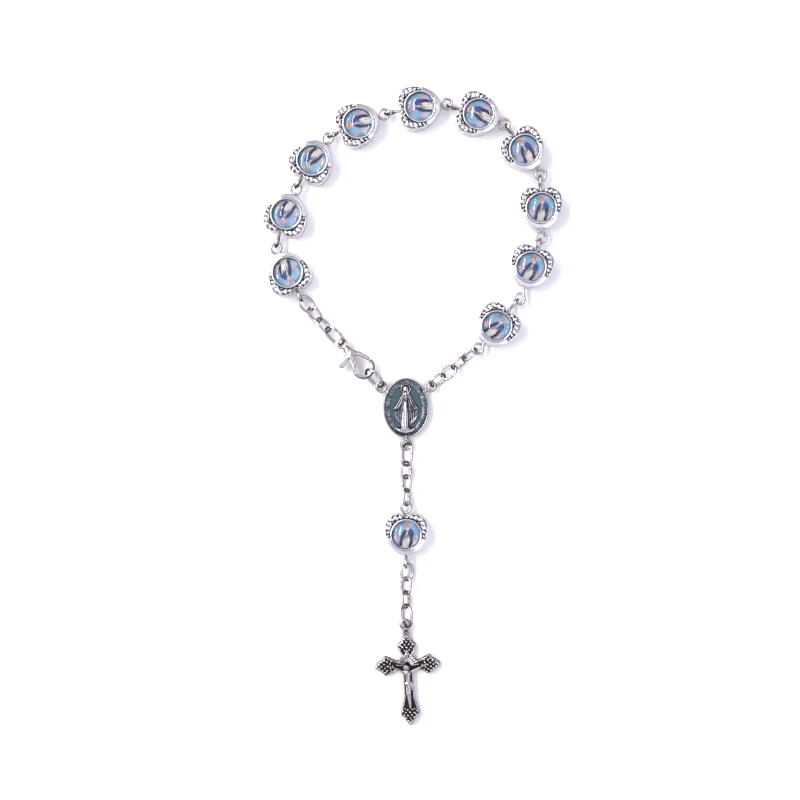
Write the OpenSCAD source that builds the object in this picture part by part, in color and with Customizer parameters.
// Rosary bracelet: ten heart beads, an oval medal, a drop with a heart bead and a crucifix.
// It lies on a flat surface. Millimetres, +X right, +Y away from the crucifix, +Z up.
// The origin is the centre of the medal's flat back.

/* [Heart beads] */
// Width of a heart across its two lobes
heart_w = 9.9; // [9.7:0.1:10]
// Reach of the heart's tip from the centre of its picture
heart_tip = 4.75; // [4.65:0.05:4.8]
// Radius of each round lobe
lobe_r = 2.85; // [2.8:0.05:2.9]
// Distance of the lobes' centres behind the centre of the picture
lobe_back = 1.95; // [1.9:0.05:2.1]
// Radius of the bowed sides that run to the tip
side_r = 7; // [6.5:0.1:8]
// Height of the casting at its bezel
heart_h = 4; // [3.8:0.1:4.6]
// Fall of the sloped rim from the bezel to the outline
rim_fall = 0.5; // [0.2:0.05:0.8]
// Depth of the ornament's bed below the bezel
bed_depth = 0.65; // [0.4:0.05:0.9]
// Radius of the raised scroll nubs on the lobes
nub_r = 0.42; // [0.34:0.02:0.5]
// Nubs on each lobe
nubs = 7; // [5:1:8]

/* [Picture and dome] */
// Radius of the recess that holds the picture
picture_r = 3.3; // [3:0.05:3.3]
// Width of the bezel wall round the recess
bezel_w = 0.4; // [0.3:0.05:0.4]
// Depth of the recess below the bezel's top
recess_depth = 1.1; // [0.9:0.05:1.2]
// Thickness of the printed disc
print_t = 0.15; // [0.1:0.05:0.25]
// Height of the clear dome above the bezel
dome_rise = 0.6; // [0.3:0.05:0.9]

/* [Eye pins] */
// Thickness of the pin's wire
pin_wire = 0.6; // [0.5:0.02:0.66]
// Outer width of a pin's eye
eye_w = 2.9; // [2.8:0.05:3]
// Height of the pins above the surface that the beads lie on
pin_z = 1.95; // [1.8:0.05:2.1]
// Clearance between a pin and the bead's bore
pin_play = 0.1; // [0.06:0.01:0.16]

/* [Chain links] */
// Length of a chain link over all
link_len = 4.4; // [4.3:0.05:4.5]
// Width of a chain link over all
link_w = 3.4; // [3.2:0.05:3.6]
// Thickness of the chain's wire
link_wire = 0.55; // [0.45:0.01:0.6]

/* [Jump rings] */
// Length of an oval jump ring over all
ring_len = 5.7; // [5.6:0.05:5.85]
// Width of a jump ring over all
ring_w = 4.4; // [4.2:0.05:4.6]
// Thickness of the jump rings' wire
ring_wire = 0.6; // [0.5:0.01:0.62]

/* [Medal] */
// Width of the oval medal
medal_w = 10.6; // [10.2:0.1:10.9]
// Height of the oval medal
medal_len = 13.8; // [13.4:0.1:14.1]
// Thickness of the medal at its rim
medal_t = 1.8; // [1.6:0.05:2]
// Width of the raised rim
medal_rim_w = 0.45; // [0.35:0.05:0.6]
// Width of the ornamental border inside the rim
medal_border_w = 1.15; // [1:0.05:1.3]
// Depth of the field below the rim
field_depth = 0.6; // [0.45:0.05:0.8]
// Beads in the medal's border
border_beads = 40; // [32:2:44]

/* [Ears] */
// Radius from an ear's centre to the middle of its wire
ear_r = 1.1; // [1.08:0.01:1.12]
// Thickness of an ear's wire
ear_wire = 0.6; // [0.5:0.02:0.62]

/* [Crucifix] */
// Length of each side arm from the middle of the crossing
arm_len = 7.6; // [7.2:0.1:8]
// Length of the foot from the middle of the crossing
foot_len = 13.8; // [13.2:0.1:14.4]
// Half width of the arms beside the crossing
shaft_half = 1.2; // [1:0.05:1.35]
// Half width of the leaf-shaped ends at their corners
bud_half = 2.2; // [2:0.05:2.4]
// Thickness of the cross plate
cross_t = 1.5; // [1.4:0.05:1.6]
// Radius of the small beads on the leaf-shaped ends
berry_r = 0.34; // [0.28:0.02:0.38]
// Turn of the crucifix from upright, in degrees
cross_turn = 3.1; // [2.5:0.1:3.7]

/* [Lobster clasp] */
// Length of the clasp from the middle of its eye to the far end of its hook
clasp_len = 10.2; // [9.9:0.1:10.3]
// Radius of the round hook
hook_r = 2.67; // [2.55:0.02:2.75]
// Width of the hook's wall
hook_wall = 0.76; // [0.7:0.02:0.8]
// Chamfer along the edges of the hook
hook_chamfer = 0.28; // [0.2:0.02:0.32]
// Thickness of the clasp's body
clasp_t = 2; // [1.8:0.05:2.2]
// Thickness of the lever
lever_t = 0.9; // [0.7:0.05:1]
// Radius from the middle of the clasp's eye to the middle of its wire
clasp_eye_r = 1; // [0.97:0.01:1.05]
// Thickness of the wire of the clasp's eye
clasp_eye_wire = 0.56; // [0.5:0.02:0.6]
// Length of the lever's gate from its pivot
gate_len = 4.35; // [4.2:0.05:4.4]
// Length of the lever's thumb tab from its pivot
tab_len = 3.5; // [3:0.1:3.9]
// Radius of the pivot pin
pivot_r = 0.4; // [0.35:0.01:0.45]

/* [Fits] */
// Gap between pieces that are set into each other
fit_gap = 0.05; // [0.03:0.01:0.08]
// Running clearance round the pivot pin
pivot_play = 0.05; // [0.03:0.01:0.08]
// Clearance beside and in front of the lever
lever_play = 0.1; // [0.08:0.01:0.15]

/* [Hidden] */
$fn = 48;
beads = 10;

// Route of the loop: the ten heart beads, clockwise from the clasp's side chain.
// x, y of the picture's centre, heading of the tip in degrees,
// reach of the pin's upright eye behind and of its flat eye ahead.
bead_route = [
    [-27.3, 31.2, 116.5, 6.1, 6.3],
    [-27.6, 44.6, 71, 6.7, 6.3],
    [-21.6, 57.0, 57, 6.1, 6.3],
    [-11.0, 65.5, 22, 6.4, 6.3],
    [3.2, 69.3, 9, 7, 6.3],
    [16.7, 67.6, -18, 6.35, 6.4],
    [27.3, 59.4, -55, 6.2, 6.8],
    [31.1, 46.0, -89, 6.4, 6.7],
    [28.7, 32.4, -109, 5.8, 7.6],
    [20.8, 18.8, -129, 6.9, 6.6]
];
// The same for the heart bead of the drop
drop_route = [0, -29.2, -90, 6.2, 6.6];

// Routes of the chains: x, y, z of each link's middle; heading, roll and nose-down pitch
left_route = [
    [-23.1, 24.05, 1.6, -50, -20, 0],
    [-21.1, 21.6, 1.6, -50, 40, 0],
    [-19.1, 19.2, 1.65, -51, -55, -4]
];
right_route = [
    [14.7, 12.35, 1.8, -143, 60, 2],
    [12.2, 10.4, 1.7, -140, -60, 2],
    [9.8, 8.35, 1.5, -139, 20, 4],
    [7.35, 6.4, 1.45, -146, -50, -4]
];
upper_route = [
    [0, -14.4, 1.95, -87, -42, 4],
    [0.1, -17.5, 1.8, -90, 50, 0],
    [0.1, -20.65, 1.85, -90, -65, 0]
];
lower_route = [
    [0.25, -38.05, 1.5, -92, -28, 2],
    [0, -41.2, 1.5, -96, 40, 0],
    [-0.05, -44.35, 1.7, -90, -60, -4]
];
clasp_ring_route = [-16.5, 16.65, 1.95, -44, 52, 0];
medal_ring_route = [-7.3, 6.85, 2, -48, 57, 6];
drop_ring_route = [0.2, -10.8, 2.05, -90, 52, -10];
cross_ring_route = [0.2, -48, 2.02, -90, 55, 10];

// Places of the ears, the clasp's eye and the crossing of the crucifix: x, y
medal_ears = [[-5.75, 4.85], [5.65, 4.95], [0, -8.5]];
clasp_place = [-14.85, 14.9];
clasp_heading = -48.3;
cross_place = [0.4, -59.7];
cross_ear_up = 9.45;

// Values worked out from the driving dimensions
pin_r = pin_wire / 2;
eye_r = (eye_w - pin_wire) / 2;
lobe_side = heart_w / 2 - lobe_r;
bezel_r = picture_r + bezel_w;
seat_z = heart_h - recess_depth;
bed_z = heart_h - bed_depth;
inset_r = picture_r - fit_gap;
dome_z = seat_z + print_t;
ear_z = medal_t - 0.4;
cross_ear_z = cross_t - 0.3;
field_z = medal_t - field_depth;
clasp_floor = 1.02;

// Points along an arc, from one angle to another
function arc_points(centre, r, from, to, steps) =
    [for (k = [0 : steps]) let (a = from + (to - from) * k / steps)
        centre + r * [cos(a), sin(a)]];

// Outline of a flat tapering bar with round ends
function taper_points(p, rp, q, rq) =
    let (d = q - p, a = atan2(d[1], d[0]), b = acos((rp - rq) / norm(d)))
    concat(arc_points(q, rq, a - b, a + b, rq > 1.5 ? 32 : 10),
        arc_points(p, rp, a + b, a + 360 - b, 10));

module taper(p, rp, q, rq) polygon(taper_points(p, rp, q, rq));

// Solid tapering bar with ball ends. The balls stand a little proud of the bar.
ball_ease = 1.04;
module limb(p, rp, q, rq) {
    d = q - p;
    translate(p) sphere(rp * ball_ease, $fn = 24);
    translate(q) sphere(rq * ball_ease, $fn = 24);
    translate(p) rotate([0, acos(d[2] / norm(d)), atan2(d[1], d[0])])
        cylinder(h = norm(d), r1 = rp, r2 = rq, $fn = 24);
}

// Limb with its middle line in a level plane
module flat_limb(p, rp, q, rq, z) limb([p[0], p[1], z], rp, [q[0], q[1], z], rq);

module ring_wire_loop(r, wire) rotate_extrude() translate([r, 0]) circle(wire / 2);

// Oval wire link: two half rings and two straight sides
module oval_link(len, width, wire) {
    r = (width - wire) / 2;
    straight = len - width;
    for (side = [0, 1]) mirror([side, 0, 0]) {
        translate([straight / 2, 0, 0]) rotate([0, 0, -90])
            rotate_extrude(angle = 180) translate([r, 0]) circle(wire / 2);
        translate([-straight / 2, side == 0 ? r : -r, 0]) rotate([0, 90, 0])
            cylinder(h = straight, r = wire / 2);
    }
}

module laid(row) translate([row[0], row[1], row[2]]) rotate([row[4], row[5], row[3]]) children();

function bead_row(i) = i <= beads ? bead_route[i - 1] : drop_route;

module on_bead(i) {
    row = bead_row(i);
    translate([row[0], row[1], 0]) rotate([0, 0, row[2]]) children();
}

// Centre of the arcs that form the sides: they touch the lobes inside, and would meet
// a little beyond the tip, which is blunt
tip_point = heart_tip + 0.18;
side_k = (pow(side_r, 2) - pow(side_r - lobe_r, 2) - pow(tip_point, 2)
    + pow(lobe_back, 2) + pow(lobe_side, 2)) / 2;
side_m = (lobe_back + tip_point) / lobe_side;
side_n = side_k / lobe_side;
side_a = 1 + pow(side_m, 2);
side_b = 2 * (side_m * side_n - tip_point);
side_c = pow(side_n, 2) + pow(tip_point, 2) - pow(side_r, 2);
side_x = (-side_b - sqrt(pow(side_b, 2) - 4 * side_a * side_c)) / (2 * side_a);
side_y = -(side_m * side_x + side_n);
touch_a = atan2(lobe_side + side_y, -lobe_back - side_x);
tip_a = acos((heart_tip - side_x) / side_r);
cleft_a = 180 + asin(lobe_side / lobe_r);
lobe_steps = 20;
lobe_step = (cleft_a - touch_a) / lobe_steps;

// Upper half of the heart's outline from its blunt tip to its cleft
upper_half = concat(
    arc_points([side_x, -side_y], side_r, tip_a, touch_a, 8),
    arc_points([-lobe_back, lobe_side], lobe_r, touch_a + lobe_step, cleft_a, lobe_steps - 1)
);

module heart_outline()
    polygon(concat(upper_half,
        [for (k = [len(upper_half) - 2 : -1 : 0]) [upper_half[k][0], -upper_half[k][1]]]));

// Scroll nubs along one lobe, each a ball with a smaller ball curled in towards the picture
module lobe_nubs() {
    first = 62;
    last = 208;
    path_r = lobe_r - nub_r * 1.35;
    for (i = [0 : nubs - 1]) {
        a = first + (last - first) * i / (nubs - 1);
        translate([-lobe_back, lobe_side, bed_z]) rotate([0, 0, a]) {
            translate([path_r, 0, 0]) sphere(nub_r);
            translate([path_r - nub_r * 1.3, nub_r * 0.5, 0]) sphere(nub_r * 0.62);
        }
    }
}

module heart(i) color("silver") on_bead(i) difference() {
    // The slope starts a little outside the bezel
    shoulder_r = bezel_r + 0.1;
    slope = rim_fall / (heart_w / 2 - shoulder_r);
    bed_angle = 78;
    union() {
        difference() {
            intersection() {
                linear_extrude(heart_h) heart_outline();
                cylinder(h = heart_h, r1 = shoulder_r + heart_h / slope, r2 = shoulder_r);
            }
            translate([0, 0, bed_z]) rotate([0, 0, bed_angle])
                rotate_extrude(angle = 360 - 2 * bed_angle) translate([bezel_r, 0])
                square([heart_w, heart_h]);
        }
        lobe_nubs();
        mirror([0, 1, 0]) lobe_nubs();
    }
    translate([0, 0, seat_z]) cylinder(h = heart_h, r = picture_r);
    translate([-heart_w, 0, pin_z]) rotate([0, 90, 0])
        cylinder(h = 2 * heart_w, r = pin_r + pin_play);
}

module picture(i) color("steelblue") on_bead(i)
    translate([0, 0, seat_z]) cylinder(h = print_t, r = inset_r);

module dome(i) color("lightcyan", 0.5) on_bead(i) {
    edge_h = 0.2;
    rise = heart_h + dome_rise - dome_z - edge_h;
    ball_r = (pow(inset_r, 2) + pow(rise, 2)) / (2 * rise);
    translate([0, 0, dome_z]) intersection() {
        cylinder(h = rise + edge_h, r = inset_r);
        translate([0, 0, edge_h + rise - ball_r]) sphere(ball_r, $fn = 96);
    }
}

// Pin through the bead with an eye at each end. The eye behind is upright and the eye ahead
// lies flat, or the other way round on the drop.
module eye_pin(i) color("gainsboro") {
    row = bead_row(i);
    behind = row[3];
    ahead = row[4];
    on_bead(i) translate([0, 0, pin_z]) rotate([i > beads ? 90 : 0, 0, 0]) {
        translate([-behind, 0, 0]) rotate([90, 0, 0]) ring_wire_loop(eye_r, pin_wire);
        translate([ahead, 0, 0]) ring_wire_loop(eye_r, pin_wire);
        translate([eye_r - behind, 0, 0]) rotate([0, 90, 0])
            cylinder(h = behind + ahead - 2 * eye_r, r = pin_r);
    }
}

// Point on the medal's outline, brought in by inset, in the direction of an angle
function oval_point(angle, inset) =
    [(medal_w / 2 - inset) * cos(angle), (medal_len / 2 - inset) * sin(angle)];

// Oval of the medal, brought in by inset all round
oval_steps = 96;
module oval(inset)
    polygon([for (k = [0 : oval_steps - 1]) oval_point(360 * k / oval_steps, inset)]);

// Raised figure on the medal: robed, with open hands, on a crescent, rays below the hands
module medal_figure() {
    z = field_z;
    head = [-0.1, 4.35];
    neck = [-0.1, 3.3];
    waist = [-0.15, 1.2];
    hem = [-0.3, -4.5];
    shoulder = [0.75, 3.05];
    cuff = [2.05, 0.3];
    hand = [2.75, -0.45];
    translate([head[0], head[1], z]) ring_wire_loop(1.0, 0.36);
    translate([head[0], head[1], z]) sphere(0.55);
    flat_limb(neck, 0.45, waist, 0.55, z);
    flat_limb(waist, 0.5, hem, 0.95, z - 0.15);
    flat_limb(waist, 0.45, hem + [0.35, 0], 0.5, z);
    for (s = [-1, 1]) {
        flat_limb([s * shoulder[0], shoulder[1]], 0.36, [s * cuff[0], cuff[1]], 0.48, z - 0.05);
        flat_limb([s * cuff[0], cuff[1]], 0.24, [s * hand[0], hand[1]], 0.2, z);
        flat_limb([s * 1.3, 1.7], 0.3, [s * 1.25, -3.4], 0.22, z - 0.05);
        for (ray = [[2.8, -2.6], [2.4, -3.4], [1.85, -4.05]])
            flat_limb([s * hand[0], hand[1] - 0.4], 0.12, [s * ray[0], ray[1]], 0.16, z);
    }
    for (s = [-1, 1]) flat_limb([s * 2, -5.3], 0.25, [0, -5.75], 0.42, z + 0.2);
}

module medal() color("darkgray") {
    border_z = field_z + 0.15;
    border_in = medal_rim_w + medal_border_w;
    difference() {
        linear_extrude(medal_t) oval(0);
        translate([0, 0, border_z]) linear_extrude(medal_t) oval(medal_rim_w);
        translate([0, 0, field_z]) linear_extrude(medal_t) oval(border_in);
    }
    for (i = [0 : border_beads - 1]) {
        p = oval_point(360 * i / border_beads, medal_rim_w + medal_border_w / 2);
        // The crescent takes the place of the lowest beads
        if (p[1] > -4.9) translate([p[0], p[1], border_z]) sphere(0.26, $fn = 24);
    }
    medal_figure();
    for (p = medal_ears) {
        translate([p[0], p[1], ear_z]) ring_wire_loop(ear_r, ear_wire);
        // Neck from the ear's ring into the medal's edge
        u = p / norm(p);
        edge = 1 / norm([u[0] * 2 / medal_w, u[1] * 2 / medal_len]);
        neck_from = edge - medal_rim_w / 2;
        translate([u[0] * neck_from, u[1] * neck_from, ear_z]) rotate([0, 90, atan2(u[1], u[0])])
            cylinder(h = norm(p) - ear_r - neck_from, r = ear_wire * 0.6);
    }
}

// Leaf-shaped end of an arm, pointing along +X from its root to its tip
module bud(root, tip) {
    corner = tip - 2.6;
    corner_r = 0.75;
    for (s = [-1, 1])
        taper([root, 0], shaft_half * 0.92, [corner, s * (bud_half - corner_r)], corner_r);
    taper([corner, 0], bud_half * 0.75, [tip - 0.65, 0], 0.65);
}

// Rows of small beads over a leaf-shaped end: place back from the tip, count, half spread
berry_rows = [
    [0.55, 1, 0], [1.15, 2, 0.5], [1.8, 3, 1], [2.5, 4, 1.6], [3.2, 3, 1], [3.85, 2, 0.5]
];

module berries(tip, rows) {
    for (i = [rows : len(berry_rows) - 1], k = [0 : berry_rows[i][1] - 1]) {
        row = berry_rows[i];
        y = row[1] == 1 ? 0 : row[2] * (2 * k / (row[1] - 1) - 1);
        translate([tip - row[0], y, cross_t]) sphere(berry_r, $fn = 24);
    }
}

// Raised figure on the cross, head bowed to the right
module corpus() {
    z = cross_t + 0.25;
    // The ankles keep their distance from the end of the foot
    ankle_y = 4.9 - foot_len;
    flat_limb([-0.5, 0.0], 0.62, [-0.35, -0.35], 0.55, z + 0.35);
    limb([-4.2, -0.2, z - 0.1], 0.2, [-1.35, -1.25, z], 0.3);
    limb([4.4, 0.1, z - 0.1], 0.2, [1.15, -1.25, z], 0.3);
    flat_limb([-1.05, -1.35], 0.42, [0.75, -1.35], 0.42, z);
    flat_limb([-0.1, -1.7], 0.85, [-0.15, -4.0], 0.6, z - 0.05);
    flat_limb([-0.15, -4.2], 0.7, [-0.1, -5.6], 0.75, z - 0.05);
    flat_limb([0.5, -4.6], 0.3, [0.75, -6.4], 0.22, z);
    flat_limb([-0.45, -5.7], 0.42, [-0.25, ankle_y], 0.26, z);
    flat_limb([0.3, -5.7], 0.42, [0.2, ankle_y], 0.26, z);
    flat_limb([-0.1, ankle_y], 0.26, [0.05, ankle_y - 1], 0.2, z - 0.1);
}

module crucifix() color("dimgray")
translate([cross_place[0], cross_place[1], 0]) rotate([0, 0, cross_turn]) {
    side_root = 2.9;
    top_tip = 7.1;
    linear_extrude(cross_t) {
        for (a = [0, 180]) rotate(a) bud(side_root, arm_len);
        rotate(90) bud(side_root - 0.5, top_tip);
        rotate(-90) bud(foot_len - 4.7, foot_len);
        translate([-side_root, -shaft_half]) square([2 * side_root, 2 * shaft_half]);
        circle(shaft_half * 1.9);
        translate([-shaft_half, 4.7 - foot_len]) square([2 * shaft_half, foot_len]);
        translate([-0.85, top_tip - 1]) square([1.7, cross_ear_up - ear_r - top_tip + 1.1]);
    }
    for (a = [0, 180]) rotate([0, 0, a]) berries(arm_len, 0);
    rotate([0, 0, 90]) berries(top_tip, 1);
    rotate([0, 0, -90]) berries(foot_len, 0);
    for (y = [7, 7.75], s = [-0.45, 0.45]) translate([s, y, cross_t]) sphere(0.3, $fn = 24);
    // Petals of light round the head
    for (a = [10 : 20 : 170])
        limb([cos(a) * 1.2, sin(a) * 1.2 - 0.2, cross_t], 0.16,
            [cos(a) * 2.9, sin(a) * 3.1 - 0.2, cross_t], 0.26);
    corpus();
    translate([0, cross_ear_up, cross_ear_z]) ring_wire_loop(ear_r, ear_wire);
}

// Clasp: +X runs from the eye to the hook, and the gate is on the +Y side
hook_x = clasp_len - hook_r;
pivot_at = [3.1, 0.1];
gate_angle = 31;
hollow_r = hook_r - hook_wall;
clasp_z = clasp_floor + clasp_t / 2;
slot_t = lever_t + 2 * lever_play;
hub_r = 0.95;

module at_clasp() translate([clasp_place[0], clasp_place[1], clasp_z])
    rotate([0, 0, clasp_heading]) children();

// Ring sector round the pivot between two angles
module pivot_sector(r, from, to, h)
    translate([pivot_at[0], pivot_at[1], -h / 2]) rotate([0, 0, from])
        rotate_extrude(angle = to - from) square([r, h]);

// Cuts for the chamfers along the upper outer and inner edge of the hook
module hook_chamfers() {
    cut = hook_chamfer + 0.2;
    top = clasp_t / 2 + 0.2;
    rotate([0, 0, -105]) rotate_extrude(angle = 210)
        polygon([[hook_r - cut, top], [hook_r + 0.2, top], [hook_r + 0.2, top - cut - 0.2]]);
    rotate_extrude()
        polygon([[hollow_r + cut, top], [hollow_r - 0.2, top], [hollow_r - 0.2, top - cut - 0.2]]);
}

module clasp_body() color("silver") at_clasp() {
    neck_x = 1.7;
    difference() {
        translate([0, 0, -clasp_t / 2]) linear_extrude(clasp_t) difference() {
            union() {
                taper([neck_x, 0], 0.7, [hook_x, 0], hook_r);
                taper([neck_x, 0], 0.7, [pivot_at[0], 0], 1.2);
            }
            translate([hook_x, 0]) circle(hollow_r);
            // Way in over the gate, behind the hook's end
            polygon([[hook_x - 2.2, 0.4], [3.6, 1.45], [3.9, 4], [7.2, 4], [7.2, 0.4]]);
        }
        // Slot for the lever, open at the back for the tab and in front for the gate
        translate([pivot_at[0] - hub_r - lever_play, -hook_r * 1.5, -slot_t / 2])
            cube([hub_r + 2.7, hook_r * 3, slot_t]);
        // Room for the gate, from its open place to a little beyond its closed one
        pivot_sector(gate_len + lever_play, gate_angle - 41, gate_angle + 14, clasp_t + 1);
        translate([hook_x, 0, 0]) for (side = [0, 1]) mirror([0, 0, side]) hook_chamfers();
    }
    translate([pivot_at[0], pivot_at[1], -clasp_t / 2]) cylinder(h = clasp_t, r = pivot_r);
    // Eye and its joint to the neck
    ring_wire_loop(clasp_eye_r, clasp_eye_wire);
    translate([clasp_eye_r, 0, 0]) rotate([0, 90, 0])
        cylinder(h = neck_x - clasp_eye_r, r = clasp_eye_wire / 2);
}

module clasp_lever() color("gainsboro") at_clasp() {
    elbow = [4.4, 1.35];
    gate_end = pivot_at + (gate_len - 0.35) * [cos(gate_angle), sin(gate_angle)];
    tab_end = pivot_at + tab_len * [cos(-80), sin(-80)];
    translate([0, 0, -lever_t / 2]) linear_extrude(lever_t) difference() {
        union() {
            translate(pivot_at) circle(hub_r);
            taper(pivot_at, 0.6, elbow, 0.4);
            taper(elbow, 0.4, gate_end, 0.35);
            taper(pivot_at, 0.5, tab_end, 0.55);
        }
        translate(pivot_at) circle(pivot_r + pivot_play);
    }
}

module jump_ring(row) color("gainsboro") laid(row) oval_link(ring_len, ring_w, ring_wire);

module chain(route) color("gainsboro")
    for (row = route) laid(row) oval_link(link_len, link_w, link_wire);

for (i = [1 : beads + 1]) {
    heart(i);
    picture(i);
    dome(i);
    eye_pin(i);
}
medal();
crucifix();
clasp_body();
clasp_lever();
jump_ring(clasp_ring_route);  // ring_clasp
jump_ring(medal_ring_route);  // ring_medal
jump_ring(drop_ring_route);  // ring_drop
jump_ring(cross_ring_route);  // ring_cross
chain(left_route);  // chain_left
chain(right_route);  // chain_right
chain(upper_route);  // chain_upper
chain(lower_route);  // chain_lower
